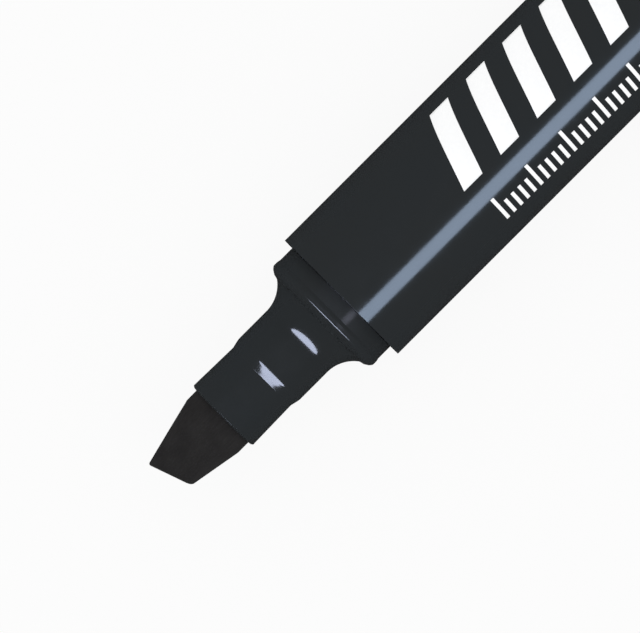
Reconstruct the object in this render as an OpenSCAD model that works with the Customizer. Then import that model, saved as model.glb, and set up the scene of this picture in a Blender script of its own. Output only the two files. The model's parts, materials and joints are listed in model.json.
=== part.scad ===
// Chisel-tip permanent marker, uncapped, lying on its side with the cap posted on its tail.
//
// Units are millimetres. The origin is on the barrel's axis, in the plane of its front rim.
// +X runs along the axis to the nib and +Z is up, so the nib section is at +X and the barrel at -X.
// The marker lies on the plane z = -barrel_d / 2, where the barrel, the cap and a corner of the clip touch it.

/* [Barrel] */
// Outside diameter of the barrel, which is also the cap's
barrel_d = 17; // [16:0.1:18]
// Length of the barrel between its two rims
barrel_length = 88; // [70:1:100]
// Thickness of the barrel's wall
barrel_wall = 1.4; // [1.3:0.1:1.6]
// Ribs in the bore, which keep the ink reservoir in the middle
barrel_ribs = 6; // [3:1:8]

/* [Nib section] */
// Radial step from the barrel down to the ring that the cap grips
seat_step = 1.12; // [1:0.02:1.2]
// Length of that ring, up to where its front edge starts to round off
seat_length = 2.3; // [1.8:0.1:3]
// Radius of the ring's rounded front edge
seat_round = 1.08; // [0.8:0.02:1.2]
// Diameter of the neck, which the cap's liner seals on
neck_d = 9.16; // [8.9:0.02:9.6]
// Where the neck starts, in front of the rim
neck_start = 6.7; // [6.4:0.1:7.2]
// Radius of the hollow shoulder between the ring and the neck
shoulder_radius = 4; // [3.6:0.1:4.2]
// Where the neck ends and its chamfer starts
neck_end = 10.8; // [9:0.05:12]
// Where the nose ends, in front of the rim
nose_end = 17.85; // [17:0.05:20]
// Depth of the section's spigot inside the barrel
spigot_length = 9; // [6:0.5:12]

/* [Chisel nib] */
// Diameter of the nib where it leaves the nose
nib_d = 7.8; // [7.4:0.1:7.9]
// How far the nib's long corner stands out of the nose
nib_reach = 9.1; // [8:0.1:11]
// Angle between the writing edge and a square cut
edge_slant = 20; // [10:1:30]
// Thickness of the felt at the writing edge
edge_thickness = 1.5; // [1:0.1:2]
// Taper of each side of the nib, seen square to its broad face
side_taper = 11; // [9:0.5:12]

/* [Cap] */
// Length of the cap
cap_length = 42; // [38:1:50]
// Length of the tail plug's stud, which the posted cap grips
stud_length = 6.6; // [4:0.1:7]
// Gap between the barrel's tail rim and the mouth of the posted cap
post_gap = 0.3; // [0.25:0.05:0.5]

/* [Pocket clip] */
// Width of the clip at its root
clip_width = 5.2; // [4:0.1:6]
// Thickness of the clip
clip_thickness = 1.3; // [1:0.1:1.6]
// Gap between the clip and the cap, where cloth goes
clip_gap = 1.8; // [1.4:0.1:2.2]

/* [Ink reservoir] */
// Thickness of the film around the fibre core
wrap_thickness = 0.13; // [0.1:0.01:0.2]
// Outside diameter of the breather tube
vent_d = 1.2; // [1:0.1:1.4]

/* [Hidden] */
$fn = 96;
ARC_STEPS = 8;    // straight pieces in each rounded stretch of a profile
EDGE = 0.15;      // chamfer on the rims of the moulded parts
SLIP = 0.03;      // radial gap between two parts of one body that are pressed together
RUN = 0.06;       // radial gap between two parts that turn or slide on each other
PAST = 1;         // how far a cutting shape runs past what it cuts

// Barrel and what is pressed into it
barrel_r = barrel_d / 2;
bore_r = barrel_r - barrel_wall;
tail = -barrel_length;
spigot_r = bore_r - SLIP;
spigot_wall = 0.97;
chamber_r = spigot_r - spigot_wall;

// Nib section
seat_r = barrel_r - seat_step;
bead_r = seat_r + 0.08;           // the ring's front edge swells a little, which makes the cap click
neck_r = neck_d / 2;
chamfer_length = 1.25;
nose_root_r = neck_r - 0.3;
nose_tip_r = neck_r - 0.12;
nose_round = 0.4;
chamber_end = 0.8;                // front of the space that holds the reservoir's front end
grooves = 4;                      // air grooves along the nib's bore
groove_width = 0.7;
groove_depth = 0.2;

// Nib
nib_r = nib_d / 2;
nib_step = nose_end - 3.35;       // the nib's thick part stops here, against a step in the bore
stem_r = nib_r - 0.53;
stem_end = 1.5;
feed_r = 2.4;                     // the thin end that draws ink from the reservoir
feed_point_r = 0.8;
feed_end = -spigot_length;
feed_tip = feed_end - 2;
nib_tip = nose_end + nib_reach;
taper_start = nose_end + 1.4;
flank_taper = side_taper + 2;     // the side of the long corner is ground a little further

// Reservoir
wrap_r = chamber_r - 0.1;
core_r = wrap_r - wrap_thickness - SLIP;
core_front = 0.5;
core_back = tail + 4;
vent_centre = core_r - vent_d / 2 - 0.05;
vent_angle = 45;

// Tail plug
plug_front = tail + 9;
plug_wall = 1.2;
plug_fin = 0.8;
stud_round = 0.8;

// Cap: x = mouth - d is a distance d into the cap
mouth = tail - post_gap;
cap_bore_r = bead_r + RUN;
cap_bore_depth = 8.5;
cap_end = mouth - cap_length;
cap_end_wall = 1.6;
cap_round = 1;
liner_mouth = mouth - 7.6;
liner_bore_r = neck_r + 0.04;
liner_wall = 0.85;
liner_back = mouth - (nib_tip + 3.2);         // the nib's long corner stays clear of it
skirt_front = liner_back - 3.5;
skirt_back = cap_end + cap_end_wall + 0.15;
skirt_r = cap_bore_r - 0.24;
skirt_wall = 0.8;
snap_height = 0.2;                            // ring on the liner that holds it in the shell
snap_width = 1.2;
snap_middle = (skirt_front + skirt_back) / 2;

// Clip: heights are measured from the axis, along the clip's own direction
clip_floor = barrel_r + clip_gap;
clip_top = clip_floor + clip_thickness;
clip_root = cap_end + 6;
clip_free = mouth - 4.5;
clip_tip_width = clip_width - 1;
pad_middle = clip_free - 3;                   // the rounded pad that presses cloth on the cap
pad_length = 4.4;
pad_clear = 0.3;
// The clip is turned until its lower corner meets the plane that the barrel lies on.
clip_corner = norm([clip_top, clip_width / 2]);
clip_roll = acos(barrel_r / clip_corner) + atan2(clip_width / 2, clip_top);

// [radius, x] points of an arc round (x, r), where an angle of 0 points to +X and 90 away from the axis
function arc(x, r, radius, from, to) =
    [for (i = [0:ARC_STEPS]) let (a = from + (to - from) * i / ARC_STEPS)
        [r + radius * sin(a), x + radius * cos(a)]];

// Turns a profile of [radius, x] points round the marker's axis
module turned(profile) {
    rotate([0, 90, 0]) rotate_extrude() polygon(profile);
}

// A round bar on the marker's axis from one x to another
module bar(r, from, to) {
    translate([from, 0, 0]) rotate([0, 90, 0]) cylinder(r = r, h = to - from);
}

// Places a shape drawn with its height along +Z so that its height runs out along the clip
module at_clip() {
    rotate([180 - clip_roll, 0, 0]) children();
}

// Extrudes an outline of [x, height] points across the clip's width
module across(width) {
    rotate([90, 0, 0]) translate([0, 0, -width / 2]) linear_extrude(width) children();
}

// Thick-walled tube, open at both ends, with ribs along the part of the bore that holds the reservoir
module barrel() {
    color("#26282a") {
        turned([
            [bore_r, tail], [barrel_r - EDGE, tail], [barrel_r, tail + EDGE], [barrel_r, 0], [bore_r, 0]
        ]);
        rib_front = -spigot_length - 0.5;
        rib_back = plug_front + 0.5;
        rib_height = bore_r - wrap_r - SLIP;
        for (i = [0:barrel_ribs - 1])
            rotate([i * 360 / barrel_ribs, 0, 0])
                translate([rib_back, -0.4, wrap_r + SLIP])
                    cube([rib_front - rib_back, 0.8, rib_height + 0.2]);
    }
}

// Outside of the nib section, from the back of the spigot to the front of the nose
function holder_outside() = concat(
    [[spigot_r - 0.4, -spigot_length], [spigot_r, 0.6 - spigot_length], [spigot_r, 0], [seat_r, 0]],
    [[seat_r, seat_length - 0.5], [bead_r, seat_length - 0.1]],
    arc(seat_length, bead_r - seat_round, seat_round, 90, 0),
    arc(neck_start, neck_r + shoulder_radius, shoulder_radius, 215, 270),
    [[neck_r, neck_end], [neck_r - 0.12, neck_end + chamfer_length / 2]],
    [[nose_root_r, neck_end + chamfer_length], [nose_tip_r, nose_end - nose_round]],
    arc(nose_end - nose_round, nose_tip_r - nose_round, nose_round, 60, 0)
);

// Cap ring, hollow shoulder, neck and nose in one moulding, pressed into the front of the barrel
module nib_holder() {
    color("#26282b") difference() {
        turned(concat(holder_outside(), [
            [nib_r + SLIP, nose_end], [nib_r + SLIP, nib_step], [stem_r + SLIP, nib_step],
            [stem_r + SLIP, chamber_end + 2.6], [chamber_r, chamber_end], [chamber_r, -spigot_length]
        ]));
        for (i = [0:grooves - 1]) rotate([i * 360 / grooves, 0, 0]) {
            translate([nib_step, -groove_width / 2, 0])
                cube([nose_end - nib_step + PAST, groove_width, nib_r + groove_depth]);
            translate([chamber_end, -groove_width / 2, 0])
                cube([nib_step - chamber_end, groove_width, stem_r + groove_depth]);
        }
    }
}

// Keeps what lies under a plane that meets height h at x, and falls by the given angle towards +X
module ground(x, h, angle) {
    translate([x, 0, h]) rotate([0, angle, 0]) translate([-40, -20, 0]) cube([80, 40, 20]);
}

// Pressed felt: a round rod, tapered, then ground to two broad faces, one flank and a slanted edge
module chisel_nib() {
    grind = atan((nib_r - edge_thickness / 2) / (nib_tip - taper_start));
    flank_y = nib_r - (nib_tip - taper_start) * tan(flank_taper);
    color("#202020") difference() {
        turned([
            [0, feed_tip], [feed_point_r, feed_tip], [feed_r, feed_end], [feed_r, stem_end],
            [stem_r, stem_end], [stem_r, nib_step], [nib_r, nib_step], [nib_r, taper_start],
            [nib_r - (nib_reach + PAST) * tan(side_taper), taper_start + nib_reach + PAST],
            [0, taper_start + nib_reach + PAST]
        ]);
        ground(taper_start, nib_r, grind);
        rotate([180, 0, 0]) ground(taper_start, nib_r, grind);
        rotate([90, 0, 0]) ground(taper_start, nib_r, flank_taper);
        translate([nib_tip, -flank_y, 0]) rotate([0, 0, edge_slant])
            translate([0, -20, -20]) cube([40, 40, 40]);
    }
}

// Bundle of fibre that holds the ink, with a socket for the nib's feed and a flute for the tube
module ink_reservoir() {
    socket_r = feed_r + SLIP;
    color("#1b1b1d") difference() {
        turned([
            [0, core_back], [core_r, core_back], [core_r, core_front], [socket_r, core_front],
            [socket_r, feed_end], [feed_point_r + SLIP, feed_tip - SLIP], [0, feed_tip - SLIP]
        ]);
        rotate([vent_angle, 0, 0]) {
            translate([0, 0, vent_centre]) bar(vent_d / 2 + SLIP, core_back - PAST, core_front + PAST);
            translate([core_back - PAST, -vent_d / 2 - SLIP, vent_centre])
                cube([core_front - core_back + 2 * PAST, vent_d + 2 * SLIP, vent_d]);
        }
    }
}

// Film sleeve round the fibre bundle
module reservoir_wrap() {
    color("#d9dde0") difference() {
        bar(wrap_r, core_back, core_front);
        bar(wrap_r - wrap_thickness, core_back - PAST, core_front + PAST);
    }
}

// Thin breather tube, which lets air past the reservoir to the space behind it
module vent_tube() {
    color("#e4e6e2") rotate([vent_angle, 0, 0]) translate([0, 0, vent_centre]) difference() {
        bar(vent_d / 2, core_back - 1.5, core_front + 0.1);
        bar(vent_d / 2 - 0.3, core_back - 1.5 - PAST, core_front + 0.1 + PAST);
    }
}

// Hollow end plug, pressed into the tail: its stud stands out of the barrel and takes the posted cap
module tail_plug() {
    stud_end = tail - stud_length;
    inside_end = stud_end + plug_wall;
    color("#26282a") {
        turned(concat(
            [[chamber_r, plug_front], [spigot_r - 0.4, plug_front], [spigot_r, plug_front - 0.6]],
            [[spigot_r, tail], [bead_r, tail]],
            arc(stud_end + stud_round, bead_r - stud_round, stud_round, 90, 180),
            [[0, stud_end], [0, inside_end], [chamber_r, inside_end]]
        ));
        for (i = [0:1]) rotate([i * 90, 0, 0])
            translate([inside_end - 0.2, -chamber_r - 0.2, -plug_fin / 2])
                cube([core_back - inside_end + 0.2, 2 * chamber_r + 0.4, plug_fin]);
    }
}

// Inner cup that seals on the neck. Its skirt snaps into the shell, which can turn round it.
module cap_liner() {
    liner_r = liner_bore_r + liner_wall;
    color("#c9cdcc") turned([
        [liner_bore_r + 0.45, liner_mouth], [liner_r, liner_mouth], [liner_r, liner_back],
        [skirt_r, skirt_front], [skirt_r, snap_middle + snap_width / 2],
        [skirt_r + snap_height, snap_middle], [skirt_r, snap_middle - snap_width / 2],
        [skirt_r, skirt_back], [skirt_r - skirt_wall, skirt_back], [skirt_r - skirt_wall, skirt_front - 0.6],
        [liner_r - 0.6, liner_back - 1], [0, liner_back - 1], [0, liner_back], [liner_bore_r, liner_back],
        [liner_bore_r, liner_mouth - 0.6]
    ]);
}

// Outer shell of the cap, closed at its far end, with the block that carries the clip
module cap_shell() {
    inner_r = skirt_r + RUN;
    inner_end = cap_end + cap_end_wall;
    bridge_round = 1.5;
    color("#26282a") {
        turned(concat(
            [[cap_bore_r + 0.15, mouth], [barrel_r - EDGE, mouth], [barrel_r, mouth - EDGE]],
            arc(cap_end + cap_round, barrel_r - cap_round, cap_round, 90, 180),
            [[0, cap_end], [0, inner_end], [inner_r, inner_end]],
            [[inner_r, snap_middle - snap_width / 2 - RUN], [inner_r + snap_height, snap_middle]],
            [[inner_r, snap_middle + snap_width / 2 + RUN], [inner_r, mouth - cap_bore_depth]],
            [[cap_bore_r, mouth - cap_bore_depth + 0.3], [cap_bore_r, mouth - 0.3]]
        ));
        at_clip() across(clip_width) polygon(concat(
            [[cap_end + cap_round, barrel_r - 0.6], [clip_root, barrel_r - 0.6], [clip_root, clip_top]],
            [for (i = [0:ARC_STEPS]) let (a = 90 + 90 * i / ARC_STEPS)
                [cap_end + 0.3 + bridge_round * (1 + cos(a)), clip_top + bridge_round * (sin(a) - 1)]],
            [[cap_end + 0.3, barrel_r - 0.3]]
        ));
    }
}

// Springy tongue that starts at the shell's block and ends in a rounded pad near the cap's mouth
module pocket_clip() {
    pad_drop = clip_floor - barrel_r - pad_clear;
    pad_radius = (pow(pad_length / 2, 2) + pow(pad_drop, 2)) / (2 * pad_drop);
    color("#26282a") at_clip() intersection() {
        across(clip_width) polygon(concat(
            [[clip_root, clip_top], [clip_root, clip_floor], [pad_middle - pad_length / 2, clip_floor]],
            [for (i = [1:ARC_STEPS - 1]) let (x = pad_length * (i / ARC_STEPS - 0.5))
                [pad_middle + x, clip_floor - pad_drop + pad_radius - sqrt(pow(pad_radius, 2) - x * x)]],
            [[pad_middle + pad_length / 2, clip_floor], [clip_free, clip_floor + 0.3]],
            [[clip_free, clip_top - 0.4], [clip_free - 1, clip_top]]
        ));
        linear_extrude(clip_top + PAST) polygon([
            [clip_root, -clip_width / 2], [clip_free - 1, -clip_tip_width / 2], [clip_free, 0.8 - clip_tip_width / 2],
            [clip_free, clip_tip_width / 2 - 0.8], [clip_free - 1, clip_tip_width / 2], [clip_root, clip_width / 2]
        ]);
    }
}

barrel();
nib_holder();
chisel_nib();
ink_reservoir();
reservoir_wrap();
vent_tube();
tail_plug();
cap_liner();
cap_shell();
pocket_clip();
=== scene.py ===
import json

import bpy
import numpy as np
from mathutils import Matrix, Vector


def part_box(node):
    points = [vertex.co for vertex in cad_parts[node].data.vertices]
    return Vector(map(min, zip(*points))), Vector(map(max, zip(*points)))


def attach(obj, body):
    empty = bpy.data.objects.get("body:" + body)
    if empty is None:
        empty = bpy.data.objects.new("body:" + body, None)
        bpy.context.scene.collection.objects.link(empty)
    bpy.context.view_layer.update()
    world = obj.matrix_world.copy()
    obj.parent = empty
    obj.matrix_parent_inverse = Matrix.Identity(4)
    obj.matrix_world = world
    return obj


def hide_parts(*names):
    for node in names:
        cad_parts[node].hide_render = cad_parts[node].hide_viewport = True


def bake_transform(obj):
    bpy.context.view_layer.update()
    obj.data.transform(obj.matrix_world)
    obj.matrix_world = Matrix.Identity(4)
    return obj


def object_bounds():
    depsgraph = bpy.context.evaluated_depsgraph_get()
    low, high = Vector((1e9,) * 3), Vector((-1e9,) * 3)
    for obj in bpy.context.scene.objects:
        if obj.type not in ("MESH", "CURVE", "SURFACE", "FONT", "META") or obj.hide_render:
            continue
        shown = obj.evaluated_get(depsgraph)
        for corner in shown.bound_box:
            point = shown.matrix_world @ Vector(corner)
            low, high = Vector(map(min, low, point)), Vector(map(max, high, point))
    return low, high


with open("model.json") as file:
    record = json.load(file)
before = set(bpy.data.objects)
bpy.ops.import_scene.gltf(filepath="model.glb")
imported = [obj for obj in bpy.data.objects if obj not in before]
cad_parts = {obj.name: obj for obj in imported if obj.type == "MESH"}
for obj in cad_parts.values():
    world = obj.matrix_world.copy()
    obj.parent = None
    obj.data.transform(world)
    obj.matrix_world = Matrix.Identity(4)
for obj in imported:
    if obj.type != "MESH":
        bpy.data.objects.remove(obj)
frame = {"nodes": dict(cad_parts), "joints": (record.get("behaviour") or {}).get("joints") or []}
cad_box = [list(corner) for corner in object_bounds()]
scene = bpy.context.scene

# --------------------------------------------------------------------------------------------------------
# Camera. It looks straight down at the front of the marker through a long lens, so nothing is
# foreshortened, and is turned so that the nib points to the lower left. All sizes below are millimetres,
# and MM turns them into the metres that Blender holds.
MM = 0.001
view_centre = np.array([3.06, -0.15])
view_width = 68.0
lens = 250.0

camera = bpy.data.objects.new("camera", bpy.data.cameras.new("camera"))
scene.collection.objects.link(camera)
scene.camera = camera
camera.data.lens = lens
camera.data.clip_start, camera.data.clip_end = 10 * MM, 10000 * MM
camera.location = (*view_centre * MM, view_width * MM * lens / camera.data.sensor_width)
camera.rotation_euler = (0, 0, np.radians(135))
scene.view_settings.view_transform = "Standard"


# --------------------------------------------------------------------------------------------------------
# Lamps. Black plastic shows its shape only by what it mirrors, so each lamp is placed for one highlight:
# a strip along one side of the barrel, a kicker for a small glint on the ring in front of its rim, and a
# wide oval panel in front of the nib. The tail panel, behind the tail, only lights the views from behind.
def softbox(name, place, target, size, radiance, colour, shape="RECTANGLE", roll=0.0):
    """Lamp at a place in mm facing a target. Its size is its width and height, and it may be rolled about
    its own axis, in degrees. Its power is its radiance times pi times its area. It shows only in mirror
    images, and lights no matt surface."""
    back = np.subtract(place, target) / np.linalg.norm(np.subtract(place, target))
    side = np.cross([0.0, 1.0, 0.0], back)
    side /= np.linalg.norm(side)
    rise = np.cross(back, side)
    c, d = np.cos(np.radians(roll)), np.sin(np.radians(roll))
    lamp = bpy.data.lights.new(name, "AREA")
    lamp.shape = shape
    lamp.size, lamp.size_y = size[0] * MM, size[1] * MM
    lamp.energy = radiance * np.pi * lamp.size * lamp.size_y * (np.pi / 4 if shape == "ELLIPSE" else 1)
    lamp.color = colour
    obj = bpy.data.objects.new(name, lamp)
    scene.collection.objects.link(obj)
    turn = np.eye(4)
    turn[:3] = np.stack([c * side + d * rise, c * rise - d * side, back, np.array(place) * MM], 1)
    obj.matrix_world = Matrix(turn.tolist())
    obj.visible_camera = False
    obj.visible_diffuse = False
    return obj


def seen_at(angle, distance, start=(0.0, 0.0)):
    """Point (across, up) at a distance from a start, at an angle in degrees from straight up."""
    return start[0] + distance * np.sin(np.radians(angle)), start[1] + distance * np.cos(np.radians(angle))


strip_end, strip_length, strip_width = 6.0, 250.0, 22.8
strip_x, strip_glint = strip_end - strip_length / 2, (3.1, 7.9)
side_strip = softbox("side_strip", place=(strip_x, *seen_at(43.5, 60, strip_glint)),
                     target=(strip_x, *strip_glint), size=(strip_length, strip_width), radiance=8.0,
                     colour=(0.59, 0.75, 1.0))
kicker_x, kicker_glint = 0.9, (2.1, 7.1)
softbox("kicker", place=(kicker_x, *seen_at(32.6, 20, kicker_glint)), target=(kicker_x, *kicker_glint),
        size=(0.9, 4.6), radiance=5.0, colour=(0.75, 0.78, 1.0))
panel_y, panel_glint = 122.0, (9.0, 4.0)
panel_x, panel_z = seen_at(24.6, 215, panel_glint)
softbox("front_panel", place=(panel_x, panel_y, panel_z), target=(panel_glint[0], panel_y, panel_glint[1]),
        size=(77.0, 530.0), radiance=16.0, colour=(0.7, 0.77, 1.0), shape="ELLIPSE", roll=-5.3)
softbox("tail_panel", place=(-330.0, 30.0, 110.0), target=(-120.0, 0.0, 0.0), size=(120.0, 260.0),
        radiance=2.5, colour=(0.8, 0.88, 1.0))


# --------------------------------------------------------------------------------------------------------
# Sweep and room. The floor is a sheet of matt white card lit from behind, so it stays white with only a
# trace of a contact shadow. The room's light is even, and its mirror image is nearly black, as in a tent
# with black flags.
def linear(colour):
    """sRGB hex string to linear red, green, blue."""
    c = np.array([int(colour[i:i + 2], 16) for i in (1, 3, 5)]) / 255
    return [*np.where(c <= 0.04045, c / 12.92, ((c + 0.055) / 1.055) ** 2.4), 1.0]


def add(tree, kind, inputs=None, out=None, **settings):
    """Adds a node and returns one of its outputs, the first in use unless out names another. Settings are
    the node's own properties, and each input gets a value or a link from another node's output."""
    node = tree.nodes.new(kind)
    for key, value in settings.items():
        setattr(node, key, value)
    for key, value in (inputs or {}).items():
        named = [s for s in node.inputs if s.name == key and s.enabled]
        socket = named[0] if named else node.inputs[key]
        if isinstance(value, bpy.types.NodeSocket):
            tree.links.new(value, socket)
        else:
            socket.default_value = value
    return node.outputs[out] if out else next(s for s in node.outputs if s.enabled)


def material(name):
    """New material, its tree, its shader and its Object coordinates in metres."""
    made = bpy.data.materials.new(name)
    made.use_nodes = True
    tree = made.node_tree
    return made, tree, tree.nodes["Principled BSDF"], add(tree, "ShaderNodeTexCoord", out="Object")


mirrored, ambient, backdrop = 0.02, 1.08, 0.97
world = bpy.data.worlds.new("light_tent")
scene.world = world
world.use_nodes = True
sky = world.node_tree
matt = add(sky, "ShaderNodeLightPath", out="Is Diffuse Ray")
direct = add(sky, "ShaderNodeLightPath", out="Is Camera Ray")
unseen = add(sky, "ShaderNodeMix", {"Factor": matt, "A": mirrored, "B": ambient})
shown = add(sky, "ShaderNodeMix", {"Factor": direct, "A": unseen, "B": backdrop})
sky.links.new(shown, sky.nodes["Background"].inputs["Strength"])
sky.nodes["Background"].inputs["Color"].default_value = (1, 1, 1, 1)

card, tree, shader, _ = material("white_card")
shader.inputs["Base Color"].default_value = (0.06, 0.06, 0.06, 1)
shader.inputs["Roughness"].default_value = 1.0
shader.inputs["Specular IOR Level"].default_value = 0.0
shader.inputs["Emission Color"].default_value = (1, 1, 1, 1)
shader.inputs["Emission Strength"].default_value = 0.91
floor_half, floor_z = 4000 * MM, cad_box[0][2]
sheet = bpy.data.meshes.new("floor")
sheet.from_pydata([(x, y, floor_z) for x, y in ((-floor_half, -floor_half), (floor_half, -floor_half),
                                               (floor_half, floor_half), (-floor_half, floor_half))],
                  [], [(0, 1, 2, 3)])
sheet.materials.append(card)
floor = bpy.data.objects.new("floor", sheet)
scene.collection.objects.link(floor)
floor.visible_diffuse = False
floor.visible_glossy = False


# --------------------------------------------------------------------------------------------------------
# Barrel: a thick tube of black polypropylene, open at both ends, with a crisp turned rim. Inside, low
# ribs keep the reservoir in the middle. The skin is satin-gloss straight from the polished mould, with a
# very faint ripple.
def arc(x, r, radius, start, stop, steps=16):
    """Points (x, r) on a circle: 0 degrees points to +X and 90 away from the axis."""
    a = np.radians(np.linspace(start, stop, steps + 1))
    return np.stack([x + radius * np.cos(a), r + radius * np.sin(a)], 1)


def rounded(corners, closed=False, steps=8, hold=0.04):
    """Line through corners (x, r, radius), each turned into an arc tangent to both of its sides. A point
    a little before and after each arc keeps the flats flat where the surface is shaded smooth."""
    corners = np.array(corners, float)
    points = []
    for i, (x, r, radius) in enumerate(corners):
        here = np.array([x, r])
        if not closed and i in (0, len(corners) - 1):
            points.append(here[None])
            continue
        back = corners[i - 1, :2] - here
        ahead = corners[(i + 1) % len(corners), :2] - here
        back, ahead = back / np.linalg.norm(back), ahead / np.linalg.norm(ahead)
        half = np.arccos(np.clip(back @ ahead, -1, 1)) / 2
        middle = here + (back + ahead) / np.linalg.norm(back + ahead) * radius / np.sin(half)
        reach = radius / np.tan(half)
        first, last = here + back * reach - middle, here + ahead * reach - middle
        turn = np.pi - 2 * half
        t = np.linspace(0, 1, steps + 1)[:, None]
        bend = (np.sin((1 - t) * turn) * first + np.sin(t * turn) * last) / np.sin(turn)
        before, after = here + back * (reach + hold), here + ahead * (reach + hold)
        points += [before[None], middle + bend, after[None]]
    return np.concatenate(points)


spokes = 240
angles = np.linspace(0, 2 * np.pi, spokes, endpoint=False)


def turned(profile, shape=None):
    """Profile (x, r) carried round the axis: the point at angle a is (x, r sin a, r cos a), so 0 is the
    top. A shape function of x, r and a may change the radius."""
    x, r = np.broadcast_arrays(profile[:, :1], profile[:, 1:] + 0 * angles)
    if shape:
        r = shape(x, r, angles[None])
    return np.stack([x, r * np.sin(angles), r * np.cos(angles)], 2)


def surface(name, grids, body, finish, loop=False, replaces=None):
    """Closed mesh over grids of points [row, column]. Columns always join on themselves. With loop, rows
    do too, and without it a fan closes each end row. The sign of its volume says which way round the
    faces go. A piece that bends between two bodies gives no body here."""
    points, faces = [], []
    count = 0
    for grid in grids:
        rows, columns = grid.shape[:2]
        index = count + np.arange(rows * columns).reshape(rows, columns)
        above = np.roll(index, -1, 0) if loop else index[1:]
        below = index if loop else index[:-1]
        quads = np.stack([below, np.roll(below, -1, 1), np.roll(above, -1, 1), above], 2).reshape(-1, 4)
        tris = np.zeros((0, 3), int)
        verts = grid.reshape(-1, 3)
        if not loop:
            verts = np.concatenate([verts, grid[[0, -1]].mean(1)])
            ends = count + rows * columns
            first, last = index[0], index[-1]
            tris = np.concatenate([np.stack([np.roll(first, -1), first, 0 * first + ends], 1),
                                   np.stack([last, np.roll(last, -1), 0 * last + ends + 1], 1)])
        near = verts - verts.mean(0)
        corners = np.concatenate([quads[:, [0, 1, 2]], quads[:, [0, 2, 3]], tris]) - count
        a, b, c = near[corners[:, 0]], near[corners[:, 1]], near[corners[:, 2]]
        if np.einsum("ij,ij->", a, np.cross(b, c)) < 0:
            quads, tris = quads[:, ::-1], tris[:, ::-1]
        points.append(verts)
        faces += quads.tolist() + tris.tolist()
        count += len(verts)
    mesh = bpy.data.meshes.new(name)
    mesh.from_pydata((np.concatenate(points) * MM).tolist(), [], faces)
    mesh.shade_smooth()
    mesh.materials.append(finish)
    obj = bpy.data.objects.new(name, mesh)
    scene.collection.objects.link(obj)
    if body:
        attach(obj, body)
    if replaces:
        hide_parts(replaces)
    return obj


def moulded(name, colours, roughness, peel_height, scuffed=None):
    """Injection-moulded polypropylene. Pigment drifts between two near-blacks over about 9 mm, the polish
    varies over 2 mm, and an orange peel about 1.2 mm across, a fraction of a micron high, loosens the
    mirror image. Scuffed gives the x in mm up to which a sliding part has dulled the skin, and the
    roughness there."""
    made, tree, shader, place = material(name)
    drift = add(tree, "ShaderNodeTexNoise", {"Vector": place, "Scale": 1 / (9 * MM), "Detail": 3.0})
    tint = add(tree, "ShaderNodeMix", {"Factor": drift, "A": linear(colours[0]),
                                       "B": linear(colours[1])}, data_type="RGBA")
    polish = add(tree, "ShaderNodeTexNoise", {"Vector": place, "Scale": 1 / (2 * MM), "Detail": 2.0})
    gloss = add(tree, "ShaderNodeMapRange", {"Value": polish, "From Min": 0.3, "From Max": 0.7,
                                             "To Min": roughness[0], "To Max": roughness[1]})
    peel = add(tree, "ShaderNodeTexNoise", {"Vector": place, "Scale": 1 / (1.2 * MM), "Detail": 1.0})
    relief = add(tree, "ShaderNodeBump", {"Height": peel, "Strength": 1.0,
                                          "Distance": peel_height * MM})
    if scuffed:
        along = add(tree, "ShaderNodeSeparateXYZ", {"Vector": place}, out="X")
        rubbed = add(tree, "ShaderNodeMapRange", {"Value": along, "From Min": (scuffed[0] + 0.4) * MM,
                                                  "From Max": (scuffed[0] - 0.4) * MM})
        gloss = add(tree, "ShaderNodeMix", {"Factor": rubbed, "A": gloss, "B": scuffed[1]})
    shader.inputs["IOR"].default_value = 1.49
    tree.links.new(tint, shader.inputs["Base Color"])
    tree.links.new(gloss, shader.inputs["Roughness"])
    tree.links.new(relief, shader.inputs["Normal"])
    return made


barrel_low, barrel_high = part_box("barrel")
tail, barrel_r = barrel_low[0] / MM, barrel_high[2] / MM
bore_r = barrel_r - 1.4
rim_round, front_round = 0.16, 0.02
rib_count, rib_height, rib_half_width, rib_draft = 6, 0.92, 0.4, 0.12
rib_back, rib_front = tail + 9.5, -9.5


def ribbed(x, r, a):
    """Low ribs stand on the bore between two places: full height within half a width, falling off over
    the draft."""
    pitch = 2 * np.pi / rib_count
    off = np.abs((a + pitch / 2) % pitch - pitch / 2) * bore_r
    stand = np.clip((rib_half_width + rib_draft - off) / rib_draft, 0, 1)
    inside = (np.abs(r - bore_r) < 0.01) & (x > rib_back) & (x < rib_front)
    return r - inside * rib_height * stand


barrel_finish = moulded("polypropylene_moulded_barrel", ("#292b2c", "#272b2e"), (0.11, 0.14), 0.0005)
tube_outline = rounded([(tail, bore_r, 0.1), (tail, barrel_r, rim_round), (0, barrel_r, front_round),
                        (0, bore_r, 0.1)], closed=True)
inner_wall = np.stack([np.array([rib_front + 0.01, rib_front - 0.15, rib_back + 0.15, rib_back - 0.01]),
                       np.full(4, bore_r)], 1)
surface("barrel_tube", [turned(np.concatenate([tube_outline, inner_wall]), ribbed)], "pen",
        barrel_finish, loop=True, replaces="barrel")

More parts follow.
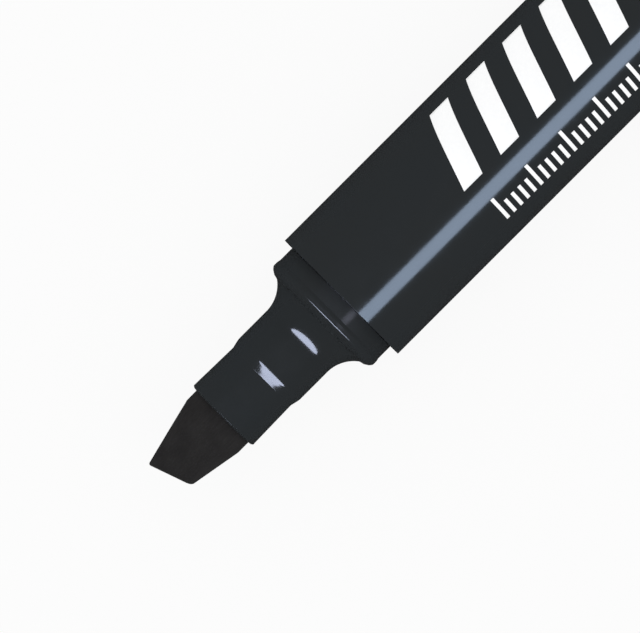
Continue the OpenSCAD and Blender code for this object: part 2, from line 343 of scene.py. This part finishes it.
# --------------------------------------------------------------------------------------------------------
# Nib holder: one black moulding pressed into the barrel's front. From the rim forwards it has the ring
# that the cap clicks over, a hollow shoulder, the neck, a short chamfer and the slightly flared nose. It
# is a little glossier than the barrel, because nobody's hand wears it, and the cap has dulled the ring.
ring_r, bead_r, bead_start, bead_end, ring_front = 7.38, 7.46, 2.2, 2.73, 3.43
neck_r, neck_start, shoulder_round, neck_end = 4.58, 6.7, 4.0, 10.86
chamfer_x, chamfer_r, nose_start, nose_root_r = 11.45, 4.453, 11.92, 4.338
nose_tip_r, nose_end = 4.46, 17.85
spigot_r, spigot_end, chamber_r = bore_r - 0.03, -9.0, bore_r - 1.0
nib_r, nib_step, stem_r = 3.9, 14.5, 3.37
nib_gap, groove_count, groove_half_width, groove_depth = 0.03, 4, 0.35, 0.2
socket_r, stem_bore_r, stem_bore_back, chamber_front = nib_r + nib_gap, stem_r + nib_gap, 3.4, 0.8


def grooved(x, r, a):
    """Air grooves run along the bore round the nib, at every quarter turn."""
    pitch = 2 * np.pi / groove_count
    off = np.abs((a + pitch / 2) % pitch - pitch / 2) * r
    bore = (r < nib_r + 0.1) & (x > 1.0)
    return r + bore * groove_depth * np.clip((groove_half_width + 0.1 - off) / 0.1, 0, 1)


ring = rounded([(0.03, spigot_r, 0), (0.03, ring_r, 0.05), (bead_start - 0.4, ring_r, 0.4),
                (bead_start, bead_r, 0.3), (bead_end, bead_r, 0.38), (bead_end + 0.32, bead_r - 0.26, 0.6),
                (ring_front - 0.07, bead_r - 0.74, 0.35), (ring_front, bead_r - 1.06, 0)])
shoulder = arc(neck_start, neck_r + shoulder_round, shoulder_round, 217, 270, 32)
nose = rounded([(neck_start + 0.1, neck_r, 0), (neck_end, neck_r, 2.2), (chamfer_x, chamfer_r, 12),
                (nose_start, nose_root_r, 0.05), (nose_end - 0.15, nose_tip_r, 0.02),
                (nose_end, nib_r + 0.35, 0.03), (nose_end, socket_r, 0.05), (nib_step, socket_r, 0.05),
                (nib_step, stem_bore_r, 0.05), (stem_bore_back, stem_bore_r, 0.1),
                (chamber_front, chamber_r, 0.2), (spigot_end, chamber_r, 0.1),
                (spigot_end, spigot_r - 0.4, 0.1), (spigot_end + 0.6, spigot_r, 0.1), (0.02, spigot_r, 0)])
holder_finish = moulded("polypropylene_moulded_holder", ("#292b2c", "#272b2e"), (0.1, 0.13), 0.0004,
                        scuffed=(bead_end, 0.18))
holder = surface("nib_section", [turned(np.concatenate([ring, shoulder, nose]), grooved)], "pen",
                 holder_finish, loop=True, replaces="nib_holder")

# A flag keeps the side strip off this part, so its highlight ends sharply at the barrel's rim.
flagged = bpy.data.collections.new("flagged")
flagged.objects.link(holder)
side_strip.light_linking.receiver_collection = flagged
flagged.collection_objects[0].light_linking.link_state = "EXCLUDE"

# --------------------------------------------------------------------------------------------------------
# Nib: a rod of pressed polyester felt, ground to a chisel. It has two broad faces, a flank that is ground
# a little further on the long corner's side, and a slanted writing edge with soft corners. It leans about
# a degree out of its socket, away from the long corner. Ink makes it a warm, matt black.
nib_tip, taper_start, edge_slant, nib_lean = 27.07, 19.42, 19.5, 0.022
side_taper, flank_taper, edge_half, tip_round = 11.2, 13.0, 0.75, 0.3
taper_length = nib_tip - taper_start
flank_y = nib_r - taper_length * np.tan(np.radians(flank_taper))


def cut_x(y):
    """The slanted edge: it starts at the tip on the flank and falls back towards the other side."""
    return nib_tip - (y + flank_y) * np.tan(np.radians(edge_slant))


def felt_reach(x, inset):
    """Distance from the axis to the felt at each angle: the soft minimum of the cone, the two broad faces
    and the flank, each moved in by the inset. A lower power makes softer edges, which the tip has."""
    run = x - taper_start
    power = 90 - 66 * np.clip(run / taper_length, 0, 1)
    cone = nib_r - run * np.tan(np.radians(side_taper)) - inset
    face = nib_r - run * (nib_r - edge_half) / taper_length - inset
    face = face / np.maximum(np.abs(np.cos(angles)), 1e-3)
    flank = (nib_r - run * np.tan(np.radians(flank_taper)) - inset) / np.maximum(-np.sin(angles), 1e-3)
    return (cone ** -power + face ** -power + flank ** -power) ** (-1 / power)


def felt_rows(along, inset, setback):
    """Rows between the rod and the slanted edge. The place of a row depends on its radius and the other
    way round, so both are settled in a few passes."""
    across = np.zeros((len(along), spokes))
    for _ in range(12):
        x = taper_start + along[:, None] * (cut_x(across) - setback[:, None] - taper_start)
        r = felt_reach(x, inset[:, None])
        across = r * np.sin(angles)
    return np.stack([x, across, r * np.cos(angles)], 2)


feed_start, feed_point_r, feed_r, feed_front, seat = -11, 0.8, 2.4, 1.5, nib_step - nib_gap
rod = rounded([(feed_start, feed_point_r, 0), (feed_start + 2, feed_r, 0.3), (feed_front, feed_r, 0.1),
               (feed_front, stem_r, 0.2), (seat, stem_r, 0.1), (seat, nib_r, 0.1),
               (taper_start - 0.05, nib_r, 0)])
along = np.linspace(0, 1, 70)[1:]
tapered = felt_rows(along, 0 * along, 0 * along + tip_round)
lip = np.radians(np.linspace(0, 90, 9))[1:]
rolled = felt_rows(1 + 0 * lip, tip_round * (1 - np.cos(lip)), tip_round * (1 - np.sin(lip)))
edge = rolled[-1]
shrink = np.array([0.85, 0.6, 0.35, 0.12])[:, None]
blunt_y = shrink * edge[:, 1]
blunt = np.stack([cut_x(blunt_y), blunt_y, shrink * edge[:, 2]], 2)
felt_grid = np.concatenate([turned(rod), tapered, rolled, blunt])
felt_grid[..., 1] += nib_lean * np.clip(felt_grid[..., 0] - nose_end, 0, None)

# The felt's fibres run along the nib, drawn ten times as coarse as real ones so that they show. The ink
# has soaked in unevenly over about 2.5 mm.
felt, tree, shader, place = material("polyester_felt_inked")
strand_length, strand_width = 2.4 * MM, 0.16 * MM
fibre = add(tree, "ShaderNodeMapping", {"Vector": place,
                                        "Scale": (1 / strand_length, 1 / strand_width, 1 / strand_width)})
strands = add(tree, "ShaderNodeTexNoise", {"Vector": fibre, "Scale": 1.0, "Detail": 5.0,
                                           "Roughness": 0.6})
soak = add(tree, "ShaderNodeTexNoise", {"Vector": place, "Scale": 1 / (2.5 * MM), "Detail": 3.0})
uptake = add(tree, "ShaderNodeMath", {0: strands, 1: soak}, operation="MULTIPLY")
depth = add(tree, "ShaderNodeMapRange", {"Value": uptake, "From Min": 0.12, "From Max": 0.4})
tint = add(tree, "ShaderNodeMix", {"Factor": depth, "A": linear("#212020"),
                                   "B": linear("#292828")}, data_type="RGBA")
relief = add(tree, "ShaderNodeBump", {"Height": strands, "Strength": 0.6, "Distance": 0.03 * MM})
shader.inputs["Roughness"].default_value = 0.85
shader.inputs["IOR"].default_value = 1.35
shader.inputs["Specular IOR Level"].default_value = 0.04
shader.inputs["Sheen Weight"].default_value = 0.01
shader.inputs["Sheen Roughness"].default_value = 0.5
tree.links.new(tint, shader.inputs["Base Color"])
tree.links.new(relief, shader.inputs["Normal"])
surface("felt_nib", [felt_grid], "pen", felt, replaces="chisel_nib")

# --------------------------------------------------------------------------------------------------------
# Barrel print: white screen ink that stands a few hundredths of a millimetre proud. A row of bold slanted
# bars runs along the upper side, and a fine graduated scale runs below it. Neither spells anything.
ink_height, ink_root = 0.03, -0.03


def ink_patch(x, width, top, base, lean):
    """Slanted bar on the barrel from one angle to another, in degrees. Its sides lean back from the nib
    by the lean's tangent times the height, and its ends follow the barrel's length."""
    a = np.radians(np.linspace(base, top, 28))[:, None]
    soft = 0.03
    half, lip_height = width / 2, ink_height - soft / 2
    across = np.array([-half, -half, soft - half, half - soft, half, half])
    stand = np.array([ink_root, lip_height, ink_height, ink_height, lip_height, ink_root])
    height = barrel_r * (np.radians(base) - a)
    r = barrel_r + stand + 0 * a
    return np.stack([x - width / 2 + across - height * np.tan(np.radians(lean)) + 0 * r, r * np.sin(a),
                     r * np.cos(a)], 2)


# The ink dries to a satin skin with a faint grain from the screen's mesh, 0.35 mm across.
ink, tree, shader, place = material("screen_ink_white")
grain = add(tree, "ShaderNodeTexNoise", {"Vector": place, "Scale": 1 / (0.35 * MM), "Detail": 3.0})
tint = add(tree, "ShaderNodeMix", {"Factor": grain, "A": linear("#f3f4f5"),
                                   "B": linear("#fafafa")}, data_type="RGBA")
relief = add(tree, "ShaderNodeBump", {"Height": grain, "Strength": 0.5, "Distance": 0.004 * MM})
shader.inputs["Roughness"].default_value = 0.42
shader.inputs["Specular IOR Level"].default_value = 0.3
tree.links.new(tint, shader.inputs["Base Color"])
tree.links.new(relief, shader.inputs["Normal"])

bar_width, bar_pitch, bar_count, bar_start = 2.7, 5.4, 10, -16.8
bar_top, bar_base, bar_lean = -54.6, 8.6, 19.0
bars = [ink_patch(bar_start - i * bar_pitch, bar_width, bar_top, bar_base, bar_lean)
        for i in range(bar_count)]
surface("print_bars", bars, "pen", ink)
tick_width, tick_pitch, tick_count, tick_start = 0.42, 1.0, 54, -18.1
long_top, short_top, tick_base, ticks_a_step = 27.0, 35.0, 50.0, 5
ticks = [ink_patch(tick_start - i * tick_pitch, tick_width, short_top if i % ticks_a_step else long_top,
                   tick_base, 0.0) for i in range(tick_count)]
surface("print_scale", ticks, "pen", ink)

# --------------------------------------------------------------------------------------------------------
# Tail plug: a hollow black plug pressed into the barrel's tail. Its stud is a copy of the ring at the nib
# end, so the posted cap clicks on. Two crossed fins inside stop the reservoir from sliding back.
stud_end = tail - 6.6
plug_front, plug_wall = tail + 9, 1.2
flange = tail - 0.02
plug_profile = rounded([(stud_end + plug_wall, 0.4, 0), (stud_end + plug_wall, chamber_r, 0.2),
                        (plug_front, chamber_r, 0.1), (plug_front, spigot_r - 0.4, 0.1),
                        (plug_front - 0.6, spigot_r, 0.1), (flange, spigot_r, 0.05),
                        (flange, bead_r, 0.1), (stud_end, bead_r, 0.8), (stud_end, 1.3, 0.15),
                        (stud_end + 0.2, 1.1, 0.1), (stud_end + 0.2, 0.3, 0)])
surface("end_plug", [turned(plug_profile)], "pen", holder_finish, replaces="tail_plug")


def rounded_bar(stations, half_width, low, high, out, side, round_off=0.3):
    """Bar along X with a rounded-square section, a superellipse of the sixth power, and rounded ends.
    Half its width and its low and high sides are given at each station; out and side are its height and
    width directions."""
    gap = np.minimum(stations - stations[0], stations[-1] - stations)[:, None]
    near = np.clip(round_off - gap, 0, round_off)
    inset = round_off - np.sqrt(np.maximum(round_off ** 2 - near ** 2, 0))
    phi = np.linspace(0, 2 * np.pi, 48, endpoint=False)
    c, s = np.cos(phi), np.sin(phi)
    c, s = np.sign(c) * np.abs(c) ** (1 / 3), np.sign(s) * np.abs(s) ** (1 / 3)
    wide = np.broadcast_to(half_width, stations.shape)[:, None] - inset
    low, high = (np.broadcast_to(v, stations.shape)[:, None] for v in (low, high))
    across, up = wide * c, (low + high) / 2 + ((high - low) / 2 - inset) * s
    return (stations[:, None, None] * np.array([1.0, 0, 0]) + across[..., None] * np.array(side)
            + up[..., None] * np.array(out))


def spaced(start, stop, count):
    """Stations from one x to another, crowded towards both ends, where the rounding is."""
    return start + (stop - start) * (1 - np.cos(np.linspace(0, np.pi, count))) / 2


fins = [rounded_bar(spaced(stud_end + 1, tail + 4, 12), chamber_r + 0.1, -0.4, 0.4, out, side, 0.05)
        for out, side in (((0, 0, 1), (0, 1, 0)), ((0, 1, 0), (0, 0, 1)))]
surface("end_plug_fins", fins, "pen", holder_finish)

# --------------------------------------------------------------------------------------------------------
# Cap shell and clip: one black moulding, closed at its far end. A block near that end carries the pocket
# clip, a springy tongue that bends from its root and ends in a rounded pad. The gate mark shows in the
# middle of the end.
cap_low, cap_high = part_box("cap_shell")
cap_end, mouth = cap_low[0] / MM, cap_high[0] / MM
cap_bore_r, cap_inner_r, bore_depth, cap_round, end_wall = 7.52, 7.34, 8.5, 1.0, 1.6
cap_finish = moulded("polypropylene_moulded_cap", ("#282a2c", "#262a2d"), (0.13, 0.17), 0.0006)
bore_back, gate_depth = mouth - bore_depth, 0.3
shell_profile = rounded([(cap_end + end_wall, 0.4, 0), (cap_end + end_wall, cap_inner_r, 0.3),
                         (bore_back, cap_inner_r, 0.1), (bore_back + 0.3, cap_bore_r, 0.1),
                         (mouth - 0.3, cap_bore_r, 0.1), (mouth, cap_bore_r + 0.15, 0.08),
                         (mouth, barrel_r, 0.2), (cap_end, barrel_r, cap_round), (cap_end, 1.9, 0.2),
                         (cap_end + gate_depth, 1.6, 0.15), (cap_end + gate_depth, 0.5, 0.05),
                         (cap_end + 0.22, 0.3, 0)])
surface("cap_tube", [turned(shell_profile)], "cap", cap_finish, replaces="cap_shell")

hinge = next(joint for joint in frame["joints"] if joint["name"] == "clip_flex")
_, axis_y, axis_z = hinge["axis"]
clip_out, clip_side = (0, axis_z, -axis_y), (0, -axis_y, -axis_z)
clip_floor, clip_top, clip_half_width = barrel_r + 1.8, barrel_r + 3.1, 2.6
clip_root, clip_free = hinge["pos_m"][0] / MM, mouth - 4.5
pad_middle, pad_half_length, pad_drop = clip_free - 3, 2.2, 1.5
back_round, block_reach, block_sink = 1.6, 1.5, 0.7
root_x = spaced(cap_end + 0.3, clip_root + block_reach, 60)
root_rise = np.clip((root_x - root_x[0]) / back_round, 0, 1)
root_top = clip_top - back_round * (1 - np.sqrt(1 - (1 - root_rise) ** 2))
root_arch = np.sqrt(np.clip((root_x - clip_root) / block_reach, 0, 1))
root_low = barrel_r - block_sink + root_arch * (clip_floor - barrel_r + block_sink)
block = rounded_bar(root_x, clip_half_width, root_low, root_top, clip_out, clip_side, 0.25)
surface("clip_block", [block], "cap", cap_finish)

tongue_x = spaced(clip_root - block_reach, clip_free, 160)
pad = np.clip(1 - ((tongue_x - pad_middle) / pad_half_length) ** 2, 0, 1)
lead_in = np.clip((tongue_x - pad_middle - pad_half_length) / 1.4, 0, 1)
narrowing = np.clip((tongue_x - clip_root) / (clip_free - clip_root), 0, 1)
tongue_low = clip_floor - pad_drop * pad + 0.2 * lead_in
tongue_top = clip_top - 0.01 - 0.3 * lead_in
tongue = rounded_bar(tongue_x, clip_half_width - 0.5 * narrowing, tongue_low, tongue_top, clip_out,
                     clip_side, 0.4)
clip = surface("clip_tongue", [tongue], None, cap_finish, replaces="pocket_clip")
bend_length, bend_start = 12, hinge["pos_m"]
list(bend_start[1:])
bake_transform(clip)
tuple(bend_start)

# --------------------------------------------------------------------------------------------------------
# Cap liner: a cup of natural polypropylene that snaps into the shell and seals on the neck. It is
# uncoloured, so it is a cool milky grey, slightly see-through at its thin lip.
seal_mouth, seal_r, seal_wall, seal_back = mouth - 7.6, 4.62, 0.85, mouth - 30.15
skirt_r, skirt_wall, skirt_front, skirt_back = 7.28, 0.8, mouth - 33.65, cap_end + 1.75
snap_x = (skirt_front + skirt_back) / 2
liner_profile = rounded([(seal_back, 0.4, 0), (seal_back, seal_r, 0.6), (seal_mouth - 0.6, seal_r, 0.3),
                         (seal_mouth, seal_r + 0.45, 0.12), (seal_mouth, seal_r + seal_wall, 0.12),
                         (seal_back, seal_r + seal_wall, 0.4), (skirt_front, skirt_r, 0.3),
                         (snap_x + 0.6, skirt_r, 0.1), (snap_x, skirt_r + 0.2, 0.1),
                         (snap_x - 0.6, skirt_r, 0.1), (skirt_back, skirt_r, 0.1),
                         (skirt_back, skirt_r - skirt_wall, 0.1),
                         (skirt_front - 0.6, skirt_r - skirt_wall, 0.3),
                         (seal_back - 1, seal_r + 0.25, 0.3), (seal_back - 1, 0.4, 0)])
# Moulded without pigment, so it is cloudy over a few millimetres and lets some light through.
natural, tree, shader, place = material("polypropylene_natural")
cloud = add(tree, "ShaderNodeTexNoise", {"Vector": place, "Scale": 1 / (4 * MM), "Detail": 3.0})
tint = add(tree, "ShaderNodeMix", {"Factor": cloud, "A": linear("#bfc4c3"),
                                   "B": linear("#cfd3d1")}, data_type="RGBA")
shader.inputs["Roughness"].default_value = 0.38
shader.inputs["IOR"].default_value = 1.49
shader.inputs["Subsurface Weight"].default_value = 0.25
shader.inputs["Subsurface Scale"].default_value = 1.5 * MM
tree.links.new(tint, shader.inputs["Base Color"])
surface("seal_cup", [turned(liner_profile)], "liner", natural, replaces="cap_liner")

# --------------------------------------------------------------------------------------------------------
# Ink reservoir, film and breather tube: a rod of fibre in a clear sleeve with a thin polyethylene straw
# beside it. They are sealed in the barrel, so the frame's own shapes serve, each with its own finish.
# Fibre soaked with ink is almost black, with faint streaks along the rod.
fibre_rod, tree, shader, place = material("polyester_fibre_soaked")
strand_length, strand_width = 6 * MM, 0.2 * MM
strand = add(tree, "ShaderNodeMapping", {"Vector": place,
                                         "Scale": (1 / strand_length, 1 / strand_width, 1 / strand_width)})
streaks = add(tree, "ShaderNodeTexNoise", {"Vector": strand, "Scale": 1.0, "Detail": 4.0})
tint = add(tree, "ShaderNodeMix", {"Factor": streaks, "A": linear("#0e0e10"),
                                   "B": linear("#1d1d20")}, data_type="RGBA")
shader.inputs["Roughness"].default_value = 0.7
tree.links.new(tint, shader.inputs["Base Color"])

# Clear film, wrapped tightly, has shallow crinkles about 3 mm apart.
film, tree, shader, place = material("polypropylene_film_clear")
crinkle = add(tree, "ShaderNodeTexNoise", {"Vector": place, "Scale": 1 / (3 * MM), "Detail": 3.0})
relief = add(tree, "ShaderNodeBump", {"Height": crinkle, "Strength": 0.4, "Distance": 0.05 * MM})
shader.inputs["Base Color"].default_value = linear("#e6eaee")
shader.inputs["Roughness"].default_value = 0.15
shader.inputs["Alpha"].default_value = 0.35
tree.links.new(relief, shader.inputs["Normal"])

# The extruder leaves fine draw lines along the straw, which make its gloss uneven.
straw, tree, shader, place = material("polyethylene_extruded")
line_length, line_width = 20 * MM, 0.15 * MM
draw_line = add(tree, "ShaderNodeMapping", {"Vector": place,
                                            "Scale": (1 / line_length, 1 / line_width, 1 / line_width)})
lines = add(tree, "ShaderNodeTexNoise", {"Vector": draw_line, "Scale": 1.0, "Detail": 2.0})
gloss = add(tree, "ShaderNodeMapRange", {"Value": lines, "To Min": 0.3, "To Max": 0.5})
shader.inputs["Base Color"].default_value = linear("#e4e6e2")
tree.links.new(gloss, shader.inputs["Roughness"])
for node, finish in (("ink_reservoir", fibre_rod), ("reservoir_wrap", film), ("vent_tube", straw)):
    for held in frame["nodes"][node].material_slots:
        held.material = finish
